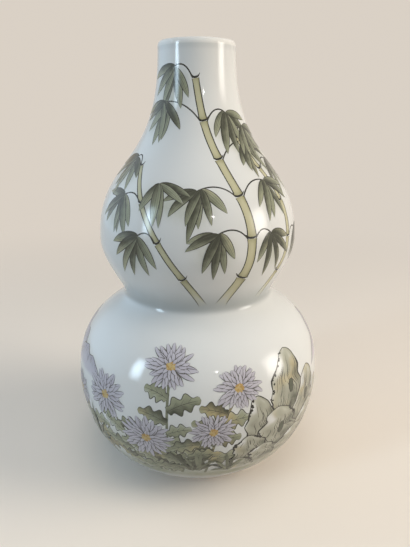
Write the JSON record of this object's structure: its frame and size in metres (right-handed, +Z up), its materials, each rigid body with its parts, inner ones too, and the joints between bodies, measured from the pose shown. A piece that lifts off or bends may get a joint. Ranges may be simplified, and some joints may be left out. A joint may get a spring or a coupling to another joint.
{
  "type": "double-gourd vase",
  "caption": "Glazed porcelain vase of two stacked bulbs with a pinched waist, a tapering cylindrical neck with a rounded lip, and an unglazed foot ring.",
  "frame": {"origin": "middle of the foot ring's standing face, on the table", "axes": "+Z up along the vase's axis, -Y towards the viewer of the picture, +X to the viewer's right"},
  "size_m": [0.183, 0.183, 0.3055],
  "materials": {
    "glaze": "glossy clear glaze over white porcelain, with enamel painting in ink black, olive green, ochre and lavender grey",
    "slip": "porcelain slip, fired under the glaze",
    "biscuit": "unglazed biscuit, matt"
  },
  "bodies": {
    "root": {"base_bowl": "glaze", "lower_shoulder": "glaze", "upper_bowl": "glaze", "upper_shoulder": "glaze", "neck": "glaze", "foot_ring": "biscuit", "foot_slip": "slip", "lower_belly_slip": "slip", "waist_slip": "slip", "upper_belly_slip": "slip", "neck_slip": "slip"}
  },
  "joints": []
}
